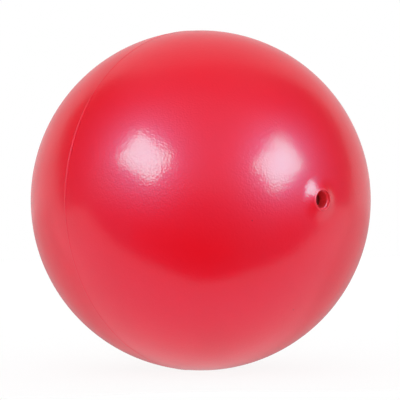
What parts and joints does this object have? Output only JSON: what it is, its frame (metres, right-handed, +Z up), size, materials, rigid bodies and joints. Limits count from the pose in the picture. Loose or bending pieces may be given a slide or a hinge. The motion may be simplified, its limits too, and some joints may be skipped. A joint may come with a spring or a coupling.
{
  "type": "playground ball",
  "caption": "Hollow round play ball of pearl vinyl with a moulded parting ridge round its middle and a recessed inflation valve whose ribbed rubber plug draws out.",
  "frame": {"origin": "centre of the round ball", "axes": "+Z up with the ball standing on its contact flat, -Y along the valve's axis and out of its mouth, X and Z in the plane of the parting ridge"},
  "size_m": [0.2166, 0.2182, 0.2157],
  "materials": {
    "pearl_vinyl": "satin",
    "valve_vinyl": "satin",
    "seal_rubber": "matte"
  },
  "bodies": {
    "ball": {"ball_shell": "pearl_vinyl", "valve_housing": "valve_vinyl"},
    "plug": {"valve_plug": "seal_rubber"}
  },
  "joints": [
    {"name": "valve_plug_slide", "type": "slide", "parent": "ball", "child": "plug", "axis": [0, -1, 0], "range_m": [0, 0.0234]}
  ]
}
